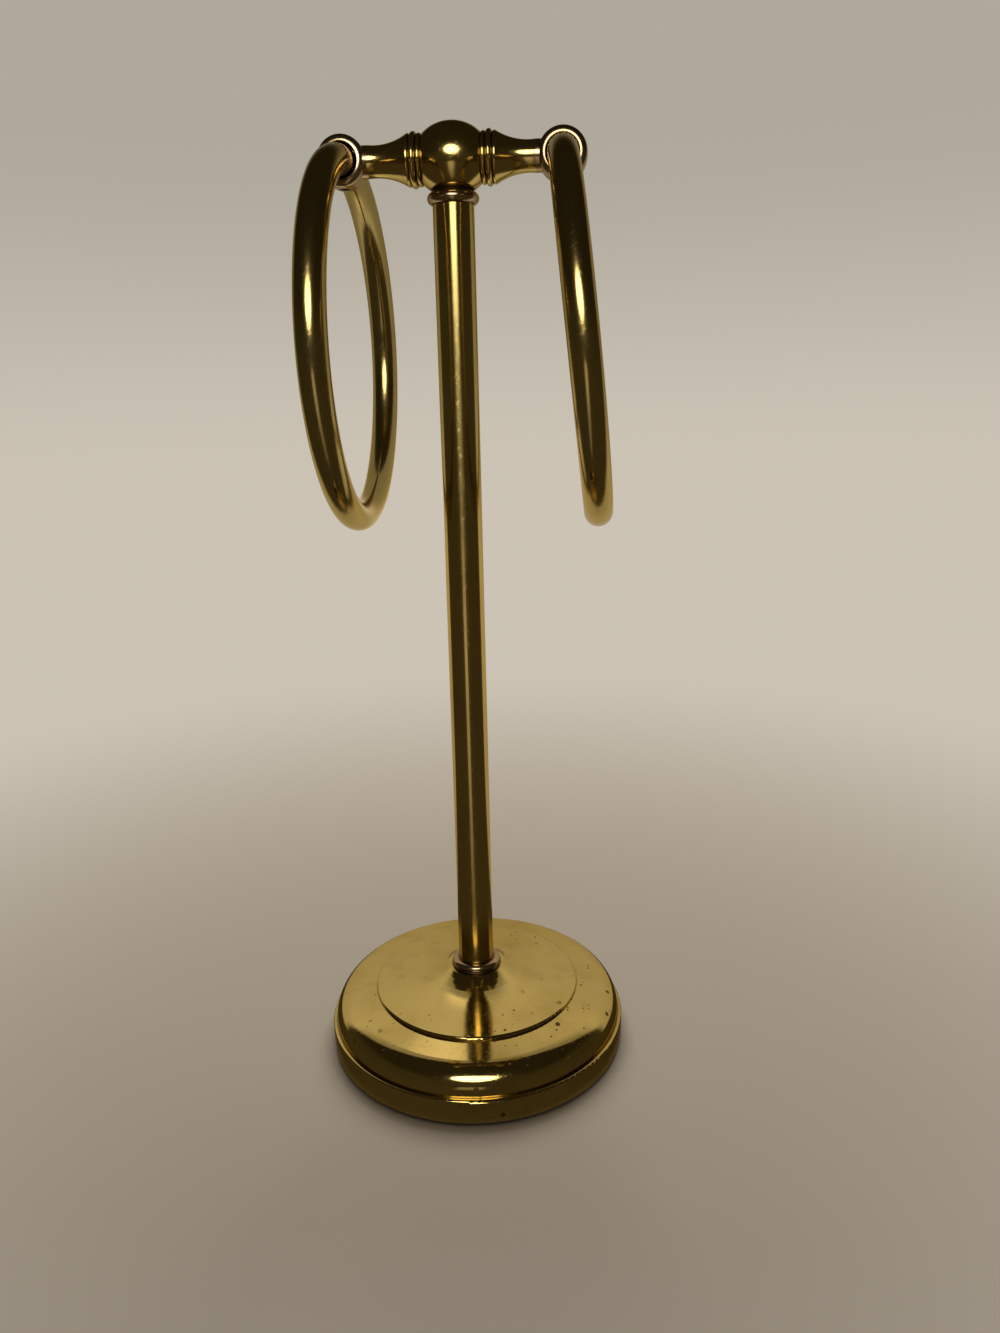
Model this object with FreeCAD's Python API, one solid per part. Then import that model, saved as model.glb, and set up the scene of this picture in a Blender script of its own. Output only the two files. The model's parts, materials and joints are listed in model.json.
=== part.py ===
import FreeCAD, Part
import math
import os

from FreeCAD import Vector

# Brass towel ring stand: a round weighted base, a tube pole and a turned cross-bar with two swinging rings.
# Millimetres, +Z up, origin under the felt at the centre of the base. The cross-bar runs along X.

# Base shell, spun from sheet
SKIRT_R = 68.1
SHELL_WALL = 0.9
FELT_PROUD = 1.6
SKIRT_HEIGHT = 10.8
LIP_ROUND = 1.0
LEDGE_WIDTH = 0.9
SHOULDER_RISE = 1.4
SHOULDER_ROUND = 10.4
RING_SLOPE = 8.5
STEP_R = 47.0
STEP_RISE = 1.8
STEP_ROUND = 1.0
DISC_SLOPE = 3.6
FLARE_LENGTH = 7.0
FLARE_PIECES = 6
CROWN_R = 13.0
CROWN_Z = 35.2

# Base weight, felt and the hardware under it
FELT_THICK = 2.0
WEIGHT_GAP = 0.7
BOSS_FOOT_R = 20.0
BOSS_TOP_R = 9.0
POCKET_R = 13.0
POCKET_DEPTH = 12.0
WASHER_R = 9.0
WASHER_THICK = 1.6
LOCK_WASHER_R = 5.6
LOCK_WASHER_THICK = 1.6
LOCK_WASHER_SLIT = 0.8
NUT_FLATS = 10.0
NUT_HEIGHT = 5.0
ROD_PROUD = 1.8

# Tie rod and the fits of threads and plain holes
ROD_R = 3.0
ROD_CLEARANCE = 0.3
THREAD_CLEARANCE = 0.05
ROD_END_CHAMFER = 0.5
HOLE_END_GAP = 0.3

# Pole and its two collars
POLE_R = 8.0
POLE_WALL = 1.0
SOCKET_CLEARANCE = 0.05
COLLAR_FLOOR = 1.5
COLLAR_LIP = 0.7
LOWER_COLLAR_R = 11.1
LOWER_COLLAR_HEIGHT = 3.4
LOWER_COLLAR_WAIST_R = 10.5
LOWER_COLLAR_FOOT_R = 10.8
LOWER_COLLAR_FOOT_HEIGHT = 0.3
UPPER_COLLAR_R = 10.0
UPPER_COLLAR_HEIGHT = 5.1
UPPER_COLLAR_WAIST_R = 8.4
UPPER_COLLAR_FOOT_R = 7.6
UPPER_COLLAR_FOOT_HEIGHT = 0.9

# Hub ball, turned about the line of the cross-bar
HUB_Z = 379.0
HUB_R = 13.1
HUB_HALF_LENGTH = 11.2
HUB_END_R = 8.75
HUB_FLAT_DROP = 10.8
ROD_GRIP = 6.6
STUD_GRIP = 9.0

# Turned arms
STUD_R = 2.5
STUD_REACH = 10.8
BEAD_WIDTH = 1.9
BEAD_R = 9.3
GROOVE_R = 8.55
RIDGE_WIDTH = 2.4
RIDGE_R = 9.9
TRUMPET_ROLL = 1.2
TRUMPET_ROLL_BULGE = 0.3
TRUMPET_R = 9.25
TRUMPET_MID_R = 6.2
NECK_R = 5.8
TENON_R = 3.0
TENON_LENGTH = 9.0

# Knuckles: the eyes that the rings hang in
EYE_X = 41.8
EYE_R = 9.3
EYE_HALF_WIDTH = 6.5
EYE_EDGE_ROUND = 2.5
EYE_MOUTH_ROUND = 0.6
NECK_STUB = 0.7
RING_CLEARANCE = 0.1

# Rings: bent tube with its ends butted over a pin inside the eye
RING_R = 66.9
RING_TUBE_R = 5.7
RING_TUBE_WALL = 1.0
RING_END_GAP = 3.2
PIN_CLEARANCE = 0.05
PIN_HALF_LENGTH = 8.0
RIGHT_RING_SWING = 6.0

# Dog-point set screws that keep the ring ends inside the eyes
SCREW_R = 2.0
SCREW_DOG_R = 1.0
SCREW_DOG_GAP = 0.35
SCREW_SUNK = 0.4
SCREW_HEX_FLATS = 2.0
SCREW_HEX_DEPTH = 1.4

# Heights and places that follow from the sizes above
LEDGE_Z = FELT_PROUD + SKIRT_HEIGHT
SHOULDER_R = SKIRT_R - LIP_ROUND - LEDGE_WIDTH
SHOULDER_Z = LEDGE_Z + SHOULDER_RISE
POCKET_Z = FELT_THICK + POCKET_DEPTH
ROD_HOLE_R = ROD_R + ROD_CLEARANCE
HUB_SEAT_Z = HUB_Z - HUB_FLAT_DROP
POLE_BOTTOM_Z = CROWN_Z + COLLAR_FLOOR
POLE_TOP_Z = HUB_SEAT_Z - COLLAR_FLOOR
WEIGHT_R = SKIRT_R - SHELL_WALL - WEIGHT_GAP
ARM_END = EYE_X - EYE_R - NECK_STUB
HOLE_R = RING_TUBE_R + RING_CLEARANCE
PIN_R = RING_TUBE_R - RING_TUBE_WALL - PIN_CLEARANCE
DOG_TIP = PIN_R + SCREW_DOG_GAP
SIDES = {"left": -1, "right": 1}
RING_SWING = {"left": 0.0, "right": RIGHT_RING_SWING}

UP = Vector(0, 0, 1)
ACROSS = Vector(1, 0, 0)
DEPTH = Vector(0, 1, 0)
ON_AXIS = Vector(0, 0, 0)


def bow(centre, radius, start, end):
    """Middle and end point of an arc about a centre, by its two angles in degrees."""
    angles = [math.radians((start + end) / 2), math.radians(end)]
    return [(centre[0] + radius * math.cos(a), centre[1] + radius * math.sin(a)) for a in angles]


def flare(edge_r, edge_z):
    """Arcs of the disc, from its edge in to the crown, as middle and end points; the slope grows inwards."""
    slope = math.tan(math.radians(DISC_SLOPE))
    width = edge_r - CROWN_R
    fade = math.exp(-width / FLARE_LENGTH)
    swell = (CROWN_Z - edge_z - slope * width) / (1 - fade)
    moves = []
    for piece in range(FLARE_PIECES):
        arc = []
        for share in (piece + 0.5, piece + 1):
            out = width * (1 - share / FLARE_PIECES) ** 1.5
            rise = slope * (width - out) + swell * (math.exp(-out / FLARE_LENGTH) - fade)
            arc.append((CROWN_R + out, edge_z + rise))
        moves.append(arc)
    return moves


def lowered_back(start, moves, drop):
    """The same arcs run backwards, each point moved down."""
    ends = [start] + [arc[-1] for arc in moves]
    back = []
    for arc, end in zip(reversed(moves), reversed(ends[:-1])):
        back.append([(arc[0][0], arc[0][1] - drop), (end[0], end[1] - drop)])
    return back


def turned(start, moves, origin, along, across):
    """Solid turned about a line: outline of (radius, height) points, one for a line and two for an arc."""
    def place(point):
        return origin + across * point[0] + along * point[1]

    edges = []
    here = place(start)
    for move in moves + [[start]]:
        points = [place(p) for p in move]
        if here.distanceToPoint(points[-1]) < 1e-6:
            continue
        if len(points) == 2:
            edges.append(Part.Arc(here, points[0], points[1]).toShape())
        else:
            edges.append(Part.LineSegment(here, points[0]).toShape())
        here = points[-1]
    face = Part.Face(Part.Wire(edges))
    return face.revolve(origin, along, 360)


def hexagon(flats, height, origin):
    """Upright hexagonal prism."""
    corner = flats / math.sqrt(3)
    points = []
    for i in range(7):
        angle = math.radians(60 * i)
        points.append(origin + Vector(corner * math.cos(angle), corner * math.sin(angle), 0))
    return Part.Face(Part.makePolygon(points)).extrude(UP * height)


def side_place(side, x, z=HUB_Z):
    """Point on the cross-bar of one side, at a distance from the pole."""
    return Vector(side * x, 0, z)


def base_shell():
    """Spun cover: skirt, lip, ledge, round shoulder, sloped ring, step, disc flaring up to the crown."""
    wall = SHELL_WALL
    slope = math.radians(RING_SLOPE)
    centre = (SHOULDER_R - SHOULDER_ROUND, SHOULDER_Z)
    top = bow(centre, SHOULDER_ROUND, 0, 90 - RING_SLOPE)[1]
    step_foot = top[1] + (top[0] - STEP_R) * math.tan(slope)
    step_top = step_foot + STEP_RISE
    disc_edge = (STEP_R - STEP_ROUND, step_top)
    disc = flare(disc_edge[0], step_top)
    inner_step_r = STEP_R - wall
    inner_foot = step_foot + wall * math.tan(slope) - wall / math.cos(slope)
    inner_disc = lowered_back(disc_edge, disc, wall)
    inner_top = bow(centre, SHOULDER_ROUND - wall, 0, 90 - RING_SLOPE)[1]
    lip_centre = (SKIRT_R - LIP_ROUND, LEDGE_Z - LIP_ROUND)
    moves = [
        [(SKIRT_R, LEDGE_Z - LIP_ROUND)],
        bow(lip_centre, LIP_ROUND, 0, 90),
        [(SHOULDER_R, LEDGE_Z)],
        [(SHOULDER_R, SHOULDER_Z)],
        bow(centre, SHOULDER_ROUND, 0, 90 - RING_SLOPE),
        [(STEP_R, step_foot)],
        [(STEP_R, step_top - STEP_ROUND)],
        bow((disc_edge[0], step_top - STEP_ROUND), STEP_ROUND, 0, 90),
        *disc,
        [(ROD_HOLE_R, CROWN_Z)],
        [(ROD_HOLE_R, CROWN_Z - wall)],
        [(CROWN_R, CROWN_Z - wall)],
        *inner_disc,
        [(inner_step_r, step_top - wall)],
        [(inner_step_r, inner_foot)],
        [inner_top],
        bow(centre, SHOULDER_ROUND - wall, 90 - RING_SLOPE, 0),
        [(SHOULDER_R - wall, LEDGE_Z - wall)],
        [(SKIRT_R - wall, LEDGE_Z - wall)],
        [(SKIRT_R - wall, FELT_PROUD)],
    ]
    return turned((SKIRT_R, FELT_PROUD), moves, ON_AXIS, UP, ACROSS)


def base_weight():
    """Cast disc under the ledge, with a boss up to the crown and a pocket for the nut."""
    rim_top = LEDGE_Z - SHELL_WALL
    moves = [
        [(WEIGHT_R, rim_top)],
        [(BOSS_FOOT_R, rim_top)],
        [(BOSS_TOP_R, CROWN_Z - SHELL_WALL)],
        [(ROD_HOLE_R, CROWN_Z - SHELL_WALL)],
        [(ROD_HOLE_R, POCKET_Z)],
        [(POCKET_R, POCKET_Z)],
        [(POCKET_R, FELT_THICK)],
    ]
    return turned((WEIGHT_R, FELT_THICK), moves, ON_AXIS, UP, ACROSS)


def felt_pad():
    """Felt disc glued under the weight, inside the skirt."""
    return Part.makeCylinder(WEIGHT_R, FELT_THICK)


def flat_washer():
    """Washer against the roof of the pocket."""
    bottom = Vector(0, 0, POCKET_Z - WASHER_THICK)
    disc = Part.makeCylinder(WASHER_R, WASHER_THICK, bottom)
    return disc.cut(Part.makeCylinder(ROD_HOLE_R, WASHER_THICK, bottom))


def lock_washer():
    """Split ring between the flat washer and the nut."""
    bottom = Vector(0, 0, POCKET_Z - WASHER_THICK - LOCK_WASHER_THICK)
    ring = Part.makeCylinder(LOCK_WASHER_R, LOCK_WASHER_THICK, bottom)
    ring = ring.cut(Part.makeCylinder(ROD_HOLE_R, LOCK_WASHER_THICK, bottom))
    corner = bottom + Vector(0, -LOCK_WASHER_SLIT / 2, 0)
    return ring.cut(Part.makeBox(LOCK_WASHER_R, LOCK_WASHER_SLIT, LOCK_WASHER_THICK, corner))


def nut_bottom():
    """Height of the nut's lower face."""
    return POCKET_Z - WASHER_THICK - LOCK_WASHER_THICK - NUT_HEIGHT


def rod_nut():
    """Hexagon nut with rounded corners on the tie rod."""
    bottom = Vector(0, 0, nut_bottom())
    nut = hexagon(NUT_FLATS, NUT_HEIGHT, bottom)
    across_corners = NUT_FLATS / math.cos(math.radians(30))
    chamfer = (across_corners - NUT_FLATS) / 2
    corner_rise = chamfer * math.tan(math.radians(30))
    moves = [
        [(NUT_FLATS / 2, 0)],
        [(across_corners / 2, corner_rise)],
        [(across_corners / 2, NUT_HEIGHT - corner_rise)],
        [(NUT_FLATS / 2, NUT_HEIGHT)],
        [(0, NUT_HEIGHT)],
    ]
    nut = nut.common(turned((0, 0), moves, bottom, UP, ACROSS))
    return nut.cut(Part.makeCylinder(ROD_R + THREAD_CLEARANCE, NUT_HEIGHT, bottom))


def tie_rod():
    """Threaded rod that pulls the base, pole and hub together."""
    bottom = nut_bottom() - ROD_PROUD
    length = HUB_SEAT_Z + ROD_GRIP - bottom
    moves = [
        [(ROD_R - ROD_END_CHAMFER, 0)],
        [(ROD_R, ROD_END_CHAMFER)],
        [(ROD_R, length - ROD_END_CHAMFER)],
        [(ROD_R - ROD_END_CHAMFER, length)],
        [(0, length)],
    ]
    return turned((0, 0), moves, Vector(0, 0, bottom), UP, ACROSS)


def collar(radius, height, waist_r, foot_r, foot_height, foot_z, along):
    """Turned collar: short foot against the base or hub, and a round bead around the end of the pole."""
    socket_r = POLE_R + SOCKET_CLEARANCE
    moves = [
        [(foot_r, 0)],
        [(waist_r, foot_height)],
        [(radius, (foot_height + height) / 2), (socket_r + COLLAR_LIP, height)],
        [(socket_r, height)],
        [(socket_r, COLLAR_FLOOR)],
        [(ROD_HOLE_R, COLLAR_FLOOR)],
    ]
    return turned((ROD_HOLE_R, 0), moves, Vector(0, 0, foot_z), along, ACROSS)


def lower_collar():
    """Collar that stands on the crown of the base."""
    foot = (LOWER_COLLAR_WAIST_R, LOWER_COLLAR_FOOT_R, LOWER_COLLAR_FOOT_HEIGHT)
    return collar(LOWER_COLLAR_R, LOWER_COLLAR_HEIGHT, *foot, CROWN_Z, UP)


def upper_collar():
    """Collar under the hub, with a short cone up to the ball."""
    foot = (UPPER_COLLAR_WAIST_R, UPPER_COLLAR_FOOT_R, UPPER_COLLAR_FOOT_HEIGHT)
    return collar(UPPER_COLLAR_R, UPPER_COLLAR_HEIGHT, *foot, HUB_SEAT_Z, -UP)


def pole_tube():
    """Straight tube between the two collars."""
    length = POLE_TOP_Z - POLE_BOTTOM_Z
    foot = Vector(0, 0, POLE_BOTTOM_Z)
    tube = Part.makeCylinder(POLE_R, length, foot)
    return tube.cut(Part.makeCylinder(POLE_R - POLE_WALL, length, foot))


def hub_ball():
    """Oval ball turned about the cross-bar, with a flat below and holes for the rod and the studs."""
    centre = Vector(0, 0, HUB_Z)
    long_r = HUB_HALF_LENGTH / math.sqrt(1 - (HUB_END_R / HUB_R) ** 2)
    start = math.acos(HUB_HALF_LENGTH / long_r)
    oval = Part.Ellipse(centre + ACROSS * long_r, centre + UP * HUB_R, centre)
    dome = Part.ArcOfEllipse(oval, start, math.pi - start).toShape()
    first, last = [v.Point for v in dome.Vertexes]
    ends = [side_place(-1, HUB_HALF_LENGTH), side_place(1, HUB_HALF_LENGTH)]
    rest = Part.makePolygon([last] + ends + [first])
    ball = Part.Face(Part.Wire([dome] + rest.Edges)).revolve(centre, ACROSS, 360)
    below = Part.makeBox(2 * HUB_R, 2 * HUB_R, HUB_R, Vector(-HUB_R, -HUB_R, HUB_SEAT_Z - HUB_R))
    ball = ball.cut(below)
    rod_hole = Part.makeCylinder(ROD_R + THREAD_CLEARANCE, ROD_GRIP + HOLE_END_GAP, Vector(0, 0, HUB_SEAT_Z))
    ball = ball.cut(rod_hole)
    for side in SIDES.values():
        mouth = side_place(side, HUB_HALF_LENGTH)
        depth = STUD_GRIP + HOLE_END_GAP
        ball = ball.cut(Part.makeCylinder(STUD_R + THREAD_CLEARANCE, depth, mouth, ACROSS * -side))
    return ball


def arm(side):
    """Turned arm: bead, sharp ridge and a trumpet that narrows to the neck."""
    ridge_x = HUB_HALF_LENGTH + BEAD_WIDTH
    trumpet_x = ridge_x + RIDGE_WIDTH
    roll_x = trumpet_x + TRUMPET_ROLL
    roll_r = (GROOVE_R + TRUMPET_R) / 2 + TRUMPET_ROLL_BULGE
    stud_r = STUD_R + THREAD_CLEARANCE
    stud_end = HUB_HALF_LENGTH + STUD_REACH + HOLE_END_GAP
    tenon_r = TENON_R + THREAD_CLEARANCE
    tenon_end = ARM_END - TENON_LENGTH - HOLE_END_GAP
    moves = [
        [(GROOVE_R, HUB_HALF_LENGTH)],
        [(BEAD_R, HUB_HALF_LENGTH + BEAD_WIDTH / 2), (GROOVE_R, ridge_x)],
        [(RIDGE_R, ridge_x + RIDGE_WIDTH / 2), (GROOVE_R, trumpet_x)],
        [(roll_r, (trumpet_x + roll_x) / 2), (TRUMPET_R, roll_x)],
        [(TRUMPET_MID_R, (roll_x + ARM_END) / 2), (NECK_R, ARM_END)],
        [(tenon_r, ARM_END)],
        [(tenon_r, tenon_end)],
        [(0, tenon_end)],
        [(0, stud_end)],
        [(stud_r, stud_end)],
    ]
    return turned((stud_r, HUB_HALF_LENGTH), moves, side_place(side, 0), ACROSS * side, UP)


def arm_stud(side):
    """Threaded stud between the hub and an arm."""
    start = HUB_HALF_LENGTH - STUD_GRIP
    end = HUB_HALF_LENGTH + STUD_REACH
    moves = [
        [(STUD_R - ROD_END_CHAMFER, start)],
        [(STUD_R, start + ROD_END_CHAMFER)],
        [(STUD_R, end - ROD_END_CHAMFER)],
        [(STUD_R - ROD_END_CHAMFER, end)],
        [(0, end)],
    ]
    return turned((0, start), moves, side_place(side, 0), ACROSS * side, UP)


def eye_hole(side):
    """Waisted hole along Y that follows the curve of the ring, with rounded mouths."""
    half = EYE_HALF_WIDTH
    mouth_r = HOLE_R + half * half / (2 * RING_R)
    flare_r = mouth_r + EYE_MOUTH_ROUND
    flat = half - EYE_MOUTH_ROUND
    moves = [
        [(flare_r, -half)],
        bow((flare_r, -flat), EYE_MOUTH_ROUND, 270, 180),
        [(HOLE_R, 0), (mouth_r, flat)],
        bow((flare_r, flat), EYE_MOUTH_ROUND, 180, 90),
        [(0, half)],
    ]
    return turned((0, -half), moves, side_place(side, EYE_X), DEPTH, UP)


def knuckle(side):
    """Eye for the ring on a short neck, with a threaded tenon into the arm and a hole for the set screw."""
    half = EYE_HALF_WIDTH
    round_r = EYE_R - EYE_EDGE_ROUND
    flat = half - EYE_EDGE_ROUND
    moves = [
        [(round_r, -half)],
        bow((round_r, -flat), EYE_EDGE_ROUND, 270, 360),
        [(EYE_R, flat)],
        bow((round_r, flat), EYE_EDGE_ROUND, 0, 90),
        [(0, half)],
    ]
    centre = side_place(side, EYE_X)
    eye = turned((0, -half), moves, centre, DEPTH, UP)
    neck = Part.makeCylinder(NECK_R, EYE_X - ARM_END, side_place(side, ARM_END), ACROSS * side)
    tenon_start = side_place(side, ARM_END - TENON_LENGTH)
    tenon = Part.makeCylinder(TENON_R, TENON_LENGTH + NECK_STUB, tenon_start, ACROSS * side)
    solid = eye.fuse(neck).fuse(tenon).removeSplitter()
    solid = solid.cut(eye_hole(side))
    return solid.cut(Part.makeCylinder(SCREW_R + THREAD_CLEARANCE, EYE_R, centre, -UP))


def set_screw(side):
    """Dog-point grub screw in the underside of the eye; its dog stands between the ends of the ring."""
    head_z = HUB_Z - EYE_R + SCREW_SUNK
    shoulder = EYE_R - SCREW_SUNK - HOLE_R
    tip = EYE_R - SCREW_SUNK - DOG_TIP
    moves = [
        [(SCREW_R, 0)],
        [(SCREW_R, shoulder)],
        [(SCREW_DOG_R, shoulder)],
        [(SCREW_DOG_R, tip)],
        [(0, tip)],
    ]
    foot = side_place(side, EYE_X, head_z)
    screw = turned((0, 0), moves, foot, UP, ACROSS)
    return screw.cut(hexagon(SCREW_HEX_FLATS, SCREW_HEX_DEPTH, foot))


def bent_bar(side, radius, start, end):
    """Round bar bent about the centre of a ring, between two angles from its top."""
    top = side_place(side, EYE_X)
    centre = top - UP * RING_R
    disc = Part.Face(Part.Wire(Part.makeCircle(radius, top, DEPTH)))
    disc.rotate(centre, ACROSS, start)
    return disc.revolve(centre, ACROSS, end - start)


def swung(shape, name, side):
    """Turns a ring piece about the hole of its eye to where it hangs."""
    shape.rotate(side_place(side, EYE_X), DEPTH, -side * RING_SWING[name])
    return shape


def ring(name, side):
    """Bent tube whose two ends face each other inside the eye."""
    half_gap = math.degrees(RING_END_GAP / 2 / RING_R)
    outside = bent_bar(side, RING_TUBE_R, half_gap, 360 - half_gap)
    inside = bent_bar(side, RING_TUBE_R - RING_TUBE_WALL, half_gap, 360 - half_gap)
    return swung(outside.cut(inside), name, side)


def ring_pin(name, side):
    """Bent pin inside the two ends of the ring."""
    half = math.degrees(PIN_HALF_LENGTH / RING_R)
    return swung(bent_bar(side, PIN_R, -half, half), name, side)


def pieces():
    """Every piece of the stand by its node name."""
    parts = {
        "base_shell": base_shell(),
        "base_weight": base_weight(),
        "felt_pad": felt_pad(),
        "flat_washer": flat_washer(),
        "lock_washer": lock_washer(),
        "rod_nut": rod_nut(),
        "tie_rod": tie_rod(),
        "lower_collar": lower_collar(),
        "pole_tube": pole_tube(),
        "upper_collar": upper_collar(),
        "hub_ball": hub_ball(),
    }
    for name, side in SIDES.items():
        parts[name + "_arm"] = arm(side)
        parts[name + "_arm_stud"] = arm_stud(side)
        parts[name + "_knuckle"] = knuckle(side)
        parts[name + "_set_screw"] = set_screw(side)
        parts[name + "_ring"] = ring(name, side)
        parts[name + "_ring_pin"] = ring_pin(name, side)
    return parts


def main():
    os.makedirs("parts", exist_ok=True)
    for node, shape in pieces().items():
        solids = shape.Solids
        print(node, len(solids), "solid", "valid" if shape.isValid() else "NOT VALID", round(shape.Volume, 1))
        solids[0].exportStep("parts/" + node + ".step")


main()
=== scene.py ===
import json
import math

import bmesh
import bpy
from mathutils import Matrix, Vector


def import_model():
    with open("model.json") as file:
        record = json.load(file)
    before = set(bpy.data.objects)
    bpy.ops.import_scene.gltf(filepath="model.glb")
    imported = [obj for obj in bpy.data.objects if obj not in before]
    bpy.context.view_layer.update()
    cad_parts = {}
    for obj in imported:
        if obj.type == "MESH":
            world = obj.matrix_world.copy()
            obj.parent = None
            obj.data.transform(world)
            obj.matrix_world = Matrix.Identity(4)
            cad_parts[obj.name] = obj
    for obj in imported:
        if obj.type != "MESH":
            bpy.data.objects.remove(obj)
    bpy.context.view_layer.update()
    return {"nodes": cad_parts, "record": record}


# Dresses the towel ring stand: aged polished brass, felt, cast iron and plated steel, on a pale floor.
# Metres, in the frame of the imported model. The front of the stand faces -Y.
# Colours are linear. A noise is (scale, detail, roughness), and a range is a pair of values between
# which an effect grows from nothing to its full share.

# Camera at the photograph's viewing angle
IMAGE_HEIGHT = 1333
FOCAL_PIXELS = 987.1
SENSOR_MM = 36.0
CLIP_START = 0.01
CAMERA_PLACE = Vector((0.04522, -0.40910, 0.29489))
CAMERA_PITCH = 15.693
CAMERA_YAW = 4.354
CAMERA_ROLL = 1.232

# Pale floor that curves up into a wall all round; it fades to the wall's colour with distance, and the
# wall's glow is painted light, lighter low and darker high
FLOOR_RADIUS = 1.35
COVE_RADIUS = 0.5
COVE_STEPS = 24
WALL_TOP = 2.0
ROUND_STEPS = 128
FLOOR_COLOUR = (0.40, 0.355, 0.30, 1)
FLOOR_ROUGHNESS = 0.9
FLOOR_SHINE = 0.1
FLOOR_FADE = (0.10, 0.66)
WALL_LOW = (0.60, 0.545, 0.46, 1)
WALL_HIGH = (0.43, 0.395, 0.335, 1)
WALL_FADE = (0.10, 0.80)

# Surroundings that only reflections see, painted as light and shade: a dark dome for the unlit room, a pale
# board behind the stand with painted light and a glow on it, and painted shade on the floor around the base
# with a gap in front
DOME_RADIUS = 1.25
DOME_STEPS = 32
DOME_LOW = (0.050, 0.041, 0.023, 1)
DOME_HIGH = (0.024, 0.019, 0.011, 1)
DOME_FADE = (0.25, 0.60)
BOARD_Y = 0.105
BOARD_HALF_WIDTH = (0.44, 0.30)
BOARD_TOP = (0.49, 0.42)
BOARD_LOW = (0.53, 0.48, 0.40, 1)
BOARD_MID = (0.67, 0.61, 0.49, 1)
BOARD_HIGH = (0.34, 0.31, 0.25, 1)
BOARD_RISE = (0.06, 0.20)
BOARD_FADE = (0.16, 0.34)
GLOW = (1.08, 0.96, 0.76, 1)
GLOW_PLACE = (-0.052, 0.105, 0.24)
GLOW_RADIUS = (0.06, 0.015)
# painted shade on the floor around the base, which only reflections see
REFLECTED_FLOOR_SHADE = (0.058, 0.045, 0.024, 1)
REFLECTED_SHADE_HEIGHT = 0.0008
REFLECTED_SHADE_STEPS = 64
REFLECTED_SHADE_EDGE = (0.066, 0.072)
GAP_ANGLES = (10.0, 6.0)
GAP_START = (0.11, 0.19)

# Lamps and sky
LAMP_TARGET = Vector((0.0, 0.0, 0.25))
LAMP_AZIMUTH = 2.0
LAMP_ELEVATION = 25.0
LAMP_DISTANCE = 1.0
LAMP_SIZE = (0.60, 0.46)
LAMP_WATTS = 4.2
LAMP_COLOUR = (1.0, 0.95, 0.86)
FILL_PLACE = Vector((0.0, 0.62, 1.15))
FILL_SIZE = (1.1, 0.8)
FILL_WATTS = 14.5
SKY_COLOUR = (1.0, 0.96, 0.90, 1)
SKY_STRENGTH = 0.33

# Metal colours
BRASS = (0.60, 0.448, 0.155, 1)
BRASS_BASE = (0.65, 0.49, 0.172, 1)
BRASS_RING = (0.48, 0.37, 0.145, 1)
BRASS_EDGE = (0.77, 0.69, 0.52, 1)
BRASS_WARM = (0.54, 0.38, 0.115, 1)
BRASS_BROWN = (0.22, 0.135, 0.055, 1)
COLLAR = (0.47, 0.345, 0.215, 1)
COLLAR_WARM = (0.32, 0.215, 0.12, 1)
PIN_WARM = (0.30, 0.185, 0.085, 1)
TARNISH = (0.045, 0.030, 0.014, 1)
SPECK = (0.105, 0.058, 0.019, 1)
ZINC = (0.62, 0.62, 0.60, 1)
ZINC_DULL = (0.46, 0.44, 0.38, 1)
BLACKED = (0.10, 0.095, 0.09, 1)
BLACKED_DULL = (0.05, 0.045, 0.04, 1)
IRON = (0.055, 0.052, 0.050, 1)
RUST = (0.12, 0.055, 0.025, 1)
FELT_DARK = (0.012, 0.009, 0.007, 1)
FELT_PALE = (0.045, 0.035, 0.027, 1)
LINT = (0.16, 0.14, 0.12, 1)

# Brass: cloudy film, brown mottling, tarnish and painted shade in corners and near other surfaces, smears,
# hairline scratches and grain
CLOUD_NOISE = (22.0, 5.0, 0.6)
CLOUD_RANGE = (0.40, 0.72)
CLOUD_SHARE = 0.75
MOTTLE_NOISE = (95.0, 3.0, 0.55)
MOTTLE_RANGE = (0.48, 0.75)
MOTTLE_SHARE = 0.14
CORNER_REACH = 0.0025
CORNER_SAMPLES = 8
CORNER_RANGE = (0.78, 0.46)
CORNER_SHARE = 0.92
CORNER_ROUGHNESS = 0.25
SMEAR_NOISE = (1.0, 4.0, 0.6)
SMEAR_STRETCH = (70.0, 70.0, 32.0)
SMEAR_TURN = (20, 35, 0)
SMEAR_RANGE = (0.35, 0.75)
SMEAR_ROUGHNESS = 0.04
HAIRLINE_NOISE = (1.0, 1.0, 0.4)
HAIRLINE_STRETCH = (14.0, 900.0, 900.0)
HAIRLINE_TURNS = ((12, 40, 25), (70, -20, 80))
HAIRLINE_RANGE = (0.655, 0.705)
HAIRLINE_ROUGHNESS = 0.06
HAIRLINE_RELIEF = -0.000003
GRAIN_NOISE = (1.0, 2.0, 0.5)
GRAIN_RELIEF = 0.0000015
DRAWN_STRETCH = (1200.0, 1200.0, 8.0)
TURNED_STRETCH = (3200.0, 20.0, 20.0)
EVEN_STRETCH = (1500.0, 1500.0, 1500.0)
SPUN_STRETCH = 1400.0
POLISH_TURN = 0.25

# Tarnish specks: each kind is (cell, largest radius, share of the cells)
SPECK_EDGE = 0.25
SPECK_ROUGHNESS = 0.14
SPECK_RELIEF = -0.00010
LARGE_SPECKS = (0.0056, 0.0014, 0.62)
SMALL_SPECKS = (0.0024, 0.00055, 0.45)
BASE_SIDE = (-0.015, 0.030)
BASE_SIDE_SHARES = (0.45, 1.0)
BASE_PATCH_NOISE = (36.0, 2.0, 0.5)
BASE_PATCH_RANGE = (0.47, 0.56)
FEW_SPECKS = (0.0045, 0.00045, 0.16)
FEW_PATCH_NOISE = (34.0, 2.0, 0.5)
FEW_PATCH_RANGE = (0.55, 0.65)

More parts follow.
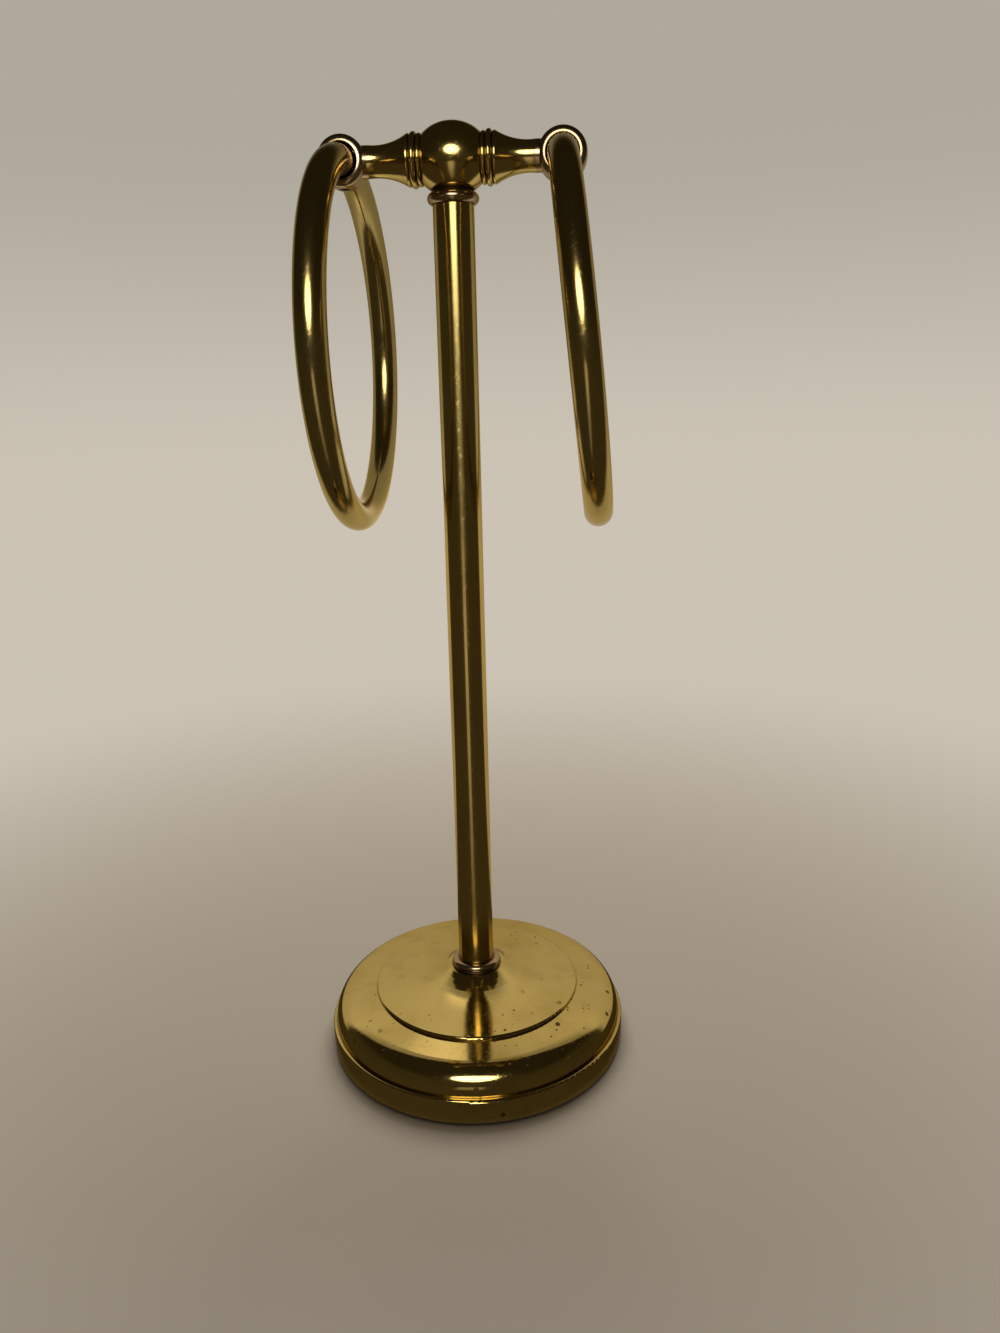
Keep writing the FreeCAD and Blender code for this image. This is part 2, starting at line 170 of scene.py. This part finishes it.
# Steel: cloudy plating, uneven gloss and fine relief
STEEL_CLOUD_NOISE = (90.0, 4.0, 0.5)
STEEL_CLOUD_RANGE = (0.35, 0.7)
STEEL_GLOSS_NOISE = (400.0, 3.0, 0.5)
STEEL_GLOSS_RANGE = (0.3, 0.7)
STEEL_GLOSS_SPREAD = 0.12
STEEL_RELIEF_NOISE = (900.0, 3.0, 0.5)
STEEL_RELIEF = 0.00004

# Cast iron: sandy skin and rust
SAND_NOISE = (520.0, 6.0, 0.65)
SAND_RANGE = (0.3, 0.7)
SAND_ROUGHNESS = (0.5, 0.75)
SAND_RELIEF = 0.0004
RUST_NOISE = (60.0, 5.0, 0.6)
RUST_RANGE = (0.55, 0.72)
RUST_SHARE = 0.7
IRON_METAL = 0.85
RUST_METAL = 0.2

# Felt: tangled fibres and lint
FIBRE_NOISE = (1.0, 4.0, 0.7)
FIBRE_STRETCHES = ((900.0, 2600.0, 1400.0), (2600.0, 900.0, 1400.0))
FIBRE_TURNS = ((0, 0, 30), (0, 0, -20))
FIBRE_RANGE = (0.35, 0.75)
FIBRE_RELIEF = 0.0006
LINT_NOISE = (700.0, 2.0, 0.5)
LINT_RANGE = (0.68, 0.74)
LINT_SHARE = 0.5
FELT_ROUGHNESS = 0.95
FELT_SHEEN = 0.4
FELT_SHEEN_ROUGHNESS = 0.5

# Sockets of the colour mix node: share, first colour, second colour, and the result
MIX_SHARE, MIX_FIRST, MIX_SECOND = 0, 6, 7
MIX_RESULT = 2


class Nodes:
    """Adds nodes to one material or world and links them."""

    def __init__(self, owner):
        self.owner = owner
        owner.use_nodes = True
        self.tree = owner.node_tree
        self.shader = self.tree.nodes.get("Principled BSDF")
        self.place = self.tree.nodes.new("ShaderNodeTexCoord").outputs["Object"]

    def add(self, kind, inputs, **settings):
        """New node with its settings, and its inputs set to values or linked to sockets."""
        node = self.tree.nodes.new(kind)
        for key, value in settings.items():
            setattr(node, key, value)
        for key, value in inputs.items():
            self.feed(node.inputs[key], value)
        return node

    def feed(self, socket, value):
        """Links a socket to another, or sets its value."""
        if isinstance(value, bpy.types.NodeSocket):
            self.tree.links.new(value, socket)
        else:
            socket.default_value = value

    def stretched(self, scale, turn=(0, 0, 0)):
        """Object coordinates, turned by degrees and then scaled along each axis."""
        angles = [math.radians(t) for t in turn]
        turned = self.add("ShaderNodeMapping", {"Vector": self.place, "Rotation": angles})
        scaled = self.add("ShaderNodeMapping", {"Vector": turned.outputs[0], "Scale": scale})
        return scaled.outputs[0]

    def parts(self, vector):
        """X, Y and Z of a vector."""
        return self.add("ShaderNodeSeparateXYZ", {"Vector": vector}).outputs

    def vector(self, operation, *inputs):
        """Node that works on vectors."""
        return self.add("ShaderNodeVectorMath", dict(enumerate(inputs)), operation=operation)

    def level(self):
        """Object coordinates with no height."""
        parts = self.parts(self.place)
        return self.add("ShaderNodeCombineXYZ", {"X": parts[0], "Y": parts[1]}).outputs[0]

    def noise(self, settings, where=None):
        """Noise of a scale, detail and roughness, at object coordinates or elsewhere."""
        scale, detail, roughness = settings
        inputs = {"Vector": where or self.place, "Scale": scale, "Detail": detail, "Roughness": roughness}
        return self.add("ShaderNodeTexNoise", inputs).outputs[0]

    def ramp(self, value, between, low=0.0, high=1.0):
        """Smooth change from low to high while a value goes from the first of a pair to the second."""
        start, end = between
        inputs = {"Value": value, "From Min": start, "From Max": end, "To Min": low, "To Max": high}
        return self.add("ShaderNodeMapRange", inputs, interpolation_type="SMOOTHSTEP").outputs[0]

    def maths(self, operation, *inputs):
        """Result of an operation on one or two numbers."""
        return self.add("ShaderNodeMath", dict(enumerate(inputs)), operation=operation).outputs[0]

    def mix(self, share, first, second):
        """Colour between two others."""
        inputs = {MIX_SHARE: share, MIX_FIRST: first, MIX_SECOND: second}
        return self.add("ShaderNodeMix", inputs, data_type="RGBA").outputs[MIX_RESULT]

    def bump(self, height, distance, over=None):
        """Normal raised by a height times a distance in metres, over another bump's normal."""
        inputs = {"Height": height, "Distance": distance, "Strength": 1.0}
        if over is not None:
            inputs["Normal"] = over
        return self.add("ShaderNodeBump", inputs).outputs[0]

    def shade(self, **values):
        """Sets or links the shader's sockets by name, with _ for a space."""
        for key, value in values.items():
            self.feed(self.shader.inputs[key.replace("_", " ")], value)
        return self.owner


def new_material(name):
    """Nodes of a new material."""
    return Nodes(bpy.data.materials.new(name))


def hairlines(nodes, turn):
    """Sparse fine scratches in one direction, 0 to 1."""
    where = nodes.stretched(HAIRLINE_STRETCH, turn)
    return nodes.ramp(nodes.noise(HAIRLINE_NOISE, where), HAIRLINE_RANGE)


def specks(nodes, cell, radius, share):
    """Round spots of varied size in a share of the cells, 0 to 1."""
    cells = nodes.add("ShaderNodeTexVoronoi", {"Vector": nodes.place, "Scale": 1 / cell})
    picks = nodes.add("ShaderNodeSeparateColor", {"Color": cells.outputs["Color"]})
    size = nodes.maths("MULTIPLY", nodes.ramp(picks.outputs[0], (1 - share, 1)), radius / cell)
    edge = nodes.maths("SUBTRACT", size, cells.outputs["Distance"])
    return nodes.ramp(edge, (0.0, SPECK_EDGE * radius / cell))


def brass(name, colour, warm, grain, roughness, spotted=None, polished=None):
    """Polished brass with a film, tarnish, painted shade in corners, scratches and the grain it was worked
    with.

    spotted is the function that places its specks; polished is the axis that it was polished about
    and how strongly that draws out its gloss.
    """
    nodes = new_material(name)
    if polished is not None:
        axis, amount = polished
        around = nodes.add("ShaderNodeTangent", {}, direction_type="RADIAL", axis=axis)
        nodes.shade(Tangent=around.outputs[0], Anisotropic=amount, Anisotropic_Rotation=POLISH_TURN)
    cloud = nodes.ramp(nodes.noise(CLOUD_NOISE), CLOUD_RANGE, 0.0, CLOUD_SHARE)
    mottle = nodes.ramp(nodes.noise(MOTTLE_NOISE), MOTTLE_RANGE, 0.0, MOTTLE_SHARE)
    # tarnish residue in the grooves and also painted shade: darker wherever the AO node finds other
    # surfaces close by, the floor too
    occlusion = nodes.add("ShaderNodeAmbientOcclusion", {"Distance": CORNER_REACH},
                       samples=CORNER_SAMPLES, only_local=False)
    residue_and_shade = nodes.ramp(occlusion.outputs["AO"], CORNER_RANGE, 0.0, CORNER_SHARE)
    film = nodes.mix(cloud, colour, warm)
    film = nodes.mix(mottle, film, BRASS_BROWN)
    film = nodes.mix(residue_and_shade, film, TARNISH)
    scratch = nodes.maths("MAXIMUM", *[hairlines(nodes, turn) for turn in HAIRLINE_TURNS])
    smear = nodes.noise(SMEAR_NOISE, nodes.stretched(SMEAR_STRETCH, SMEAR_TURN))
    gloss = nodes.ramp(smear, SMEAR_RANGE, roughness, roughness + SMEAR_ROUGHNESS)
    gloss = nodes.maths("ADD", gloss, nodes.maths("MULTIPLY", scratch, HAIRLINE_ROUGHNESS))
    gloss = nodes.maths("ADD", gloss, nodes.maths("MULTIPLY", residue_and_shade, CORNER_ROUGHNESS))
    relief = nodes.bump(nodes.noise(GRAIN_NOISE, grain(nodes)), GRAIN_RELIEF)
    relief = nodes.bump(scratch, HAIRLINE_RELIEF, relief)
    if spotted is not None:
        spots = spotted(nodes)
        film = nodes.mix(spots, film, SPECK)
        gloss = nodes.maths("ADD", gloss, nodes.maths("MULTIPLY", spots, SPECK_ROUGHNESS))
        relief = nodes.bump(spots, SPECK_RELIEF, relief)
    return nodes.shade(Base_Color=film, Metallic=1.0, Roughness=gloss, Normal=relief,
                       Specular_Tint=BRASS_EDGE)


def drawn_grain(nodes):
    """Faint lines along Z, as on drawn tube."""
    return nodes.stretched(DRAWN_STRETCH)


def turned_grain(nodes):
    """Lines around X, as on pieces turned about the cross-bar."""
    return nodes.stretched(TURNED_STRETCH)


def even_grain(nodes):
    """Fine buffing marks with no direction."""
    return nodes.stretched(EVEN_STRETCH)


def spun_grain(nodes):
    """Rings about Z, as on spun sheet: the radius from the axis stands in for X."""
    radius = nodes.vector("LENGTH", nodes.level()).outputs["Value"]
    across = nodes.maths("MULTIPLY", radius, SPUN_STRETCH)
    return nodes.add("ShaderNodeCombineXYZ", {"X": across}).outputs[0]


def base_spots(nodes):
    """Tarnish specks, mostly on the right side of the base."""
    side = nodes.ramp(nodes.parts(nodes.place)[0], BASE_SIDE, *BASE_SIDE_SHARES)
    patch = nodes.ramp(nodes.noise(BASE_PATCH_NOISE), BASE_PATCH_RANGE)
    spots = nodes.maths("MAXIMUM", specks(nodes, *LARGE_SPECKS), specks(nodes, *SMALL_SPECKS))
    return nodes.maths("MULTIPLY", spots, nodes.maths("MULTIPLY", side, patch))


def few_spots(nodes):
    """A few small specks."""
    patch = nodes.ramp(nodes.noise(FEW_PATCH_NOISE), FEW_PATCH_RANGE)
    return nodes.maths("MULTIPLY", specks(nodes, *FEW_SPECKS), patch)


def steel(name, light, dark, roughness):
    """Plated or blackened steel with cloudy plating and fine marks."""
    nodes = new_material(name)
    colour = nodes.mix(nodes.ramp(nodes.noise(STEEL_CLOUD_NOISE), STEEL_CLOUD_RANGE), light, dark)
    gloss = nodes.ramp(nodes.noise(STEEL_GLOSS_NOISE), STEEL_GLOSS_RANGE,
                       roughness, roughness + STEEL_GLOSS_SPREAD)
    relief = nodes.bump(nodes.noise(STEEL_RELIEF_NOISE), STEEL_RELIEF)
    return nodes.shade(Base_Color=colour, Metallic=1.0, Roughness=gloss, Normal=relief)


def cast_iron():
    """Dark iron with a sandy cast skin and patches of rust."""
    nodes = new_material("cast_iron")
    sand = nodes.noise(SAND_NOISE)
    rust = nodes.ramp(nodes.noise(RUST_NOISE), RUST_RANGE, 0.0, RUST_SHARE)
    colour = nodes.mix(rust, IRON, RUST)
    metal = nodes.ramp(rust, (0.0, RUST_SHARE), IRON_METAL, RUST_METAL)
    gloss = nodes.ramp(sand, SAND_RANGE, *SAND_ROUGHNESS)
    relief = nodes.bump(sand, SAND_RELIEF)
    return nodes.shade(Base_Color=colour, Metallic=metal, Roughness=gloss, Normal=relief)


def felt():
    """Dark wool felt: short tangled fibres with lint."""
    nodes = new_material("felt")
    fibres = [nodes.noise(FIBRE_NOISE, nodes.stretched(stretch, turn))
              for stretch, turn in zip(FIBRE_STRETCHES, FIBRE_TURNS)]
    tangle = nodes.maths("MAXIMUM", *fibres)
    lint = nodes.ramp(nodes.noise(LINT_NOISE), LINT_RANGE, 0.0, LINT_SHARE)
    colour = nodes.mix(nodes.ramp(tangle, FIBRE_RANGE), FELT_DARK, FELT_PALE)
    colour = nodes.mix(lint, colour, LINT)
    return nodes.shade(Base_Color=colour, Roughness=FELT_ROUGHNESS, Normal=nodes.bump(tangle, FIBRE_RELIEF),
                       Sheen_Weight=FELT_SHEEN, Sheen_Roughness=FELT_SHEEN_ROUGHNESS)


def make_materials():
    """One finished material for each slot of the record."""
    return {
        "base_brass": brass("base_brass", BRASS_BASE, BRASS_WARM, spun_grain,
                            roughness=0.08, spotted=base_spots, polished=("Z", 0.2)),
        "pole_brass": brass("pole_brass", BRASS, BRASS_WARM, drawn_grain,
                            roughness=0.16, spotted=few_spots, polished=("Z", 0.85)),
        "turned_brass": brass("turned_brass", BRASS, BRASS_WARM, turned_grain,
                              roughness=0.13, polished=("X", 0.3)),
        "collar_brass": brass("collar_brass", COLLAR, COLLAR_WARM, even_grain, roughness=0.18),
        "ring_brass": brass("ring_brass", BRASS_RING, BRASS_WARM, even_grain,
                            roughness=0.16, spotted=few_spots),
        "pin_brass": brass("pin_brass", BRASS_WARM, PIN_WARM, even_grain, roughness=0.25),
        "zinc_steel": steel("zinc_steel", ZINC, ZINC_DULL, roughness=0.28),
        "dark_steel": steel("dark_steel", BLACKED, BLACKED_DULL, roughness=0.35),
        "cast_iron": cast_iron(),
        "felt": felt(),
    }


def dress(frame):
    """Gives every CAD node the finished material of its slot."""
    materials = make_materials()
    for part in frame["record"]["subparts"]:
        mesh = frame["nodes"][part["node"]].data
        mesh.materials.clear()
        mesh.materials.append(materials[part["material_slot"]])


def new_object(name, form):
    """Smooth object in the scene, from a form in the making."""
    mesh = bpy.data.meshes.new(name)
    form.to_mesh(mesh)
    form.free()
    mesh.shade_smooth()
    thing = bpy.data.objects.new(name, mesh)
    bpy.context.scene.collection.objects.link(thing)
    return thing


def turned_mesh(name, profile, segments):
    """Smooth object made by turning (radius, height) points about Z."""
    form = bmesh.new()
    points = [form.verts.new((r, 0, z)) for r, z in profile]
    edges = [form.edges.new(pair) for pair in zip(points, points[1:])]
    bmesh.ops.spin(form, geom=points + edges, axis=(0, 0, 1), cent=(0, 0, 0),
                   angle=2 * math.pi, steps=segments)
    bmesh.ops.remove_doubles(form, verts=form.verts, dist=1e-5)
    return new_object(name, form)


def arc(centre, radius, start, end, steps):
    """Points of an arc in the (radius, height) plane, by its two angles in degrees."""
    angles = [math.radians(start + (end - start) * i / steps) for i in range(steps + 1)]
    return [(centre[0] + radius * math.cos(a), centre[1] + radius * math.sin(a)) for a in angles]


def finish_stage(thing, nodes, surface):
    """Puts a surface on a piece of the stage; its glow is a picture, not a lamp."""
    nodes.tree.links.new(surface.outputs[0], nodes.tree.nodes["Material Output"].inputs["Surface"])
    nodes.owner.cycles.emission_sampling = "NONE"
    thing.data.materials.append(nodes.owner)


def mix_surfaces(nodes, share, first, second):
    """Surface between two others."""
    return nodes.add("ShaderNodeMixShader", {0: share, 1: first.outputs[0], 2: second.outputs[0]})


def only_reflected(thing):
    """Hides a piece of the stage from all but reflections."""
    thing.visible_camera = False
    thing.visible_diffuse = False
    thing.visible_shadow = False
    thing.visible_transmission = False


def seen_directly(nodes):
    """1 where the camera, a reflection or glass sees a surface, 0 where it only lights others."""
    path = nodes.add("ShaderNodeLightPath", {}).outputs
    seen = nodes.maths("MAXIMUM", path["Is Camera Ray"], path["Is Glossy Ray"])
    return nodes.maths("MAXIMUM", seen, path["Is Transmission Ray"])


def make_floor():
    """Pale floor that curves up into a pale wall all round."""
    curve = arc((FLOOR_RADIUS, COVE_RADIUS), COVE_RADIUS, -90, 0, COVE_STEPS)
    profile = [(0, 0)] + curve + [(FLOOR_RADIUS + COVE_RADIUS, WALL_TOP)]
    floor = turned_mesh("floor", profile, ROUND_STEPS)
    nodes = new_material("floor")
    nodes.shade(Base_Color=FLOOR_COLOUR, Roughness=FLOOR_ROUGHNESS, Specular_IOR_Level=FLOOR_SHINE)
    away = nodes.vector("LENGTH", nodes.place).outputs["Value"]
    share = nodes.maths("MULTIPLY", seen_directly(nodes), nodes.ramp(away, FLOOR_FADE))
    height = nodes.parts(nodes.place)[2]
    # painted light: the wall glows lighter low and darker high
    wall = nodes.mix(nodes.ramp(height, WALL_FADE), WALL_LOW, WALL_HIGH)
    pale = nodes.add("ShaderNodeEmission", {"Color": wall})
    finish_stage(floor, nodes, mix_surfaces(nodes, share, nodes.shader, pale))


def make_dome():
    """Painted shade that only reflections see: a dark room all round, darker above."""
    dome = turned_mesh("dome", arc((0, 0), DOME_RADIUS, 0, 90, DOME_STEPS), ROUND_STEPS)
    nodes = new_material("dome")
    above = nodes.parts(nodes.vector("NORMALIZE", nodes.place).outputs[0])[2]
    colour = nodes.mix(nodes.ramp(above, DOME_FADE), DOME_LOW, DOME_HIGH)
    finish_stage(dome, nodes, nodes.add("ShaderNodeEmission", {"Color": colour}))
    only_reflected(dome)


def make_board():
    """Pale board that reflections see close behind the stand, with painted light on it: lighter low, darker
    high, and a soft glow.
    """
    wide, tall = BOARD_HALF_WIDTH[0], BOARD_TOP[0]
    corners = ((-wide, 0), (wide, 0), (wide, tall), (-wide, tall))
    form = bmesh.new()
    form.faces.new([form.verts.new((x, BOARD_Y, z)) for x, z in corners])
    board = new_object("board", form)
    nodes = new_material("board")
    parts = nodes.parts(nodes.place)
    height = parts[2]
    beside = nodes.ramp(nodes.maths("ABSOLUTE", parts[0]), BOARD_HALF_WIDTH)
    share = nodes.maths("MULTIPLY", beside, nodes.ramp(height, BOARD_TOP))
    # painted light: the board glows lighter low and darker high
    colour = nodes.mix(nodes.ramp(height, BOARD_RISE), BOARD_LOW, BOARD_MID)
    colour = nodes.mix(nodes.ramp(height, BOARD_FADE), colour, BOARD_HIGH)
    # painted pool of light on the board
    apart = nodes.vector("DISTANCE", nodes.place, GLOW_PLACE).outputs["Value"]
    colour = nodes.mix(nodes.ramp(apart, GLOW_RADIUS), colour, GLOW)
    pale = nodes.add("ShaderNodeEmission", {"Color": colour})
    clear = nodes.add("ShaderNodeBsdfTransparent", {})
    finish_stage(board, nodes, mix_surfaces(nodes, share, clear, pale))
    only_reflected(board)


def make_reflected_shade():
    """Painted shade on the floor around the base, which only reflections see, with a gap towards the lamp.
    """
    reflected_shade = turned_mesh("reflected_shade", [(0, REFLECTED_SHADE_HEIGHT), (DOME_RADIUS, REFLECTED_SHADE_HEIGHT)], REFLECTED_SHADE_STEPS)
    nodes = new_material("reflected_shade")
    away = nodes.vector("LENGTH", nodes.place).outputs["Value"]
    outwards = nodes.parts(nodes.vector("NORMALIZE", nodes.level()).outputs[0])
    forwards = nodes.maths("MULTIPLY", outwards[1], -1.0)
    sector = nodes.ramp(forwards, [math.cos(math.radians(a)) for a in GAP_ANGLES])
    gap = nodes.maths("MULTIPLY", sector, nodes.ramp(away, GAP_START))
    share = nodes.maths("MULTIPLY", nodes.ramp(away, REFLECTED_SHADE_EDGE), nodes.maths("SUBTRACT", 1.0, gap))
    clear = nodes.add("ShaderNodeBsdfTransparent", {})
    dark = nodes.add("ShaderNodeEmission", {"Color": REFLECTED_FLOOR_SHADE})
    finish_stage(reflected_shade, nodes, mix_surfaces(nodes, share, clear, dark))
    only_reflected(reflected_shade)


def make_lamp(name, place, target, shape, size, watts):
    """Soft lamp that the camera does not see."""
    lamp = bpy.data.lights.new(name, "AREA")
    lamp.shape = shape
    lamp.size, lamp.size_y = size
    lamp.energy = watts
    lamp.color = LAMP_COLOUR
    holder = bpy.data.objects.new(name, lamp)
    holder.location = place
    holder.rotation_euler = (target - place).to_track_quat("-Z", "Y").to_euler()
    holder.visible_camera = False
    bpy.context.scene.collection.objects.link(holder)
    return holder


def make_lights():
    """One soft lamp behind the camera for the gloss, and one above the back for the rest."""
    azimuth = math.radians(LAMP_AZIMUTH)
    elevation = math.radians(LAMP_ELEVATION)
    level = Vector((math.sin(azimuth), -math.cos(azimuth), 0))
    back = level * math.cos(elevation) + Vector((0, 0, math.sin(elevation)))
    place = LAMP_TARGET + back * LAMP_DISTANCE
    lamp = make_lamp("lamp", place, LAMP_TARGET, "ELLIPSE", LAMP_SIZE, LAMP_WATTS)
    lamp.visible_diffuse = False
    fill = make_lamp("fill", FILL_PLACE, Vector((0, 0, 0)), "RECTANGLE", FILL_SIZE, FILL_WATTS)
    fill.visible_glossy = False


def make_sky():
    """Even pale sky that lights the stage; seen directly, it has the colour of the wall's top."""
    world = bpy.data.worlds.new("sky")
    nodes = Nodes(world)
    sky = nodes.tree.nodes["Background"]
    sky.inputs["Color"].default_value = SKY_COLOUR
    sky.inputs["Strength"].default_value = SKY_STRENGTH
    pale = nodes.add("ShaderNodeBackground", {"Color": WALL_HIGH})
    both = mix_surfaces(nodes, seen_directly(nodes), sky, pale)
    nodes.tree.links.new(both.outputs[0], nodes.tree.nodes["World Output"].inputs["Surface"])
    bpy.context.scene.world = world


def make_camera():
    """Camera at the photograph's place, with its pitch, turn and roll."""
    pitch = math.radians(CAMERA_PITCH)
    yaw = math.radians(CAMERA_YAW)
    roll = math.radians(CAMERA_ROLL)
    forward = Vector((
        -math.sin(yaw) * math.cos(pitch),
        math.cos(yaw) * math.cos(pitch),
        -math.sin(pitch),
    ))
    level = Vector((math.cos(yaw), math.sin(yaw), 0))
    below = forward.cross(level)
    right = level * math.cos(roll) + below * math.sin(roll)
    down = below * math.cos(roll) - level * math.sin(roll)
    data = bpy.data.cameras.new("camera")
    data.sensor_width = SENSOR_MM
    data.lens = FOCAL_PIXELS * SENSOR_MM / IMAGE_HEIGHT
    data.clip_start = CLIP_START
    camera = bpy.data.objects.new("camera", data)
    turn = Matrix((right, -down, -forward)).transposed().to_4x4()
    camera.matrix_world = Matrix.Translation(CAMERA_PLACE) @ turn
    bpy.context.scene.collection.objects.link(camera)
    bpy.context.scene.camera = camera


def main():
    """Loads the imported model, dresses it and builds the stage around it."""
    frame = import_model()
    dress(frame)
    make_floor()
    make_dome()
    make_board()
    make_reflected_shade()
    make_lights()
    make_sky()
    make_camera()
    bpy.context.scene.view_settings.view_transform = "Standard"
    bpy.context.view_layer.update()


main()
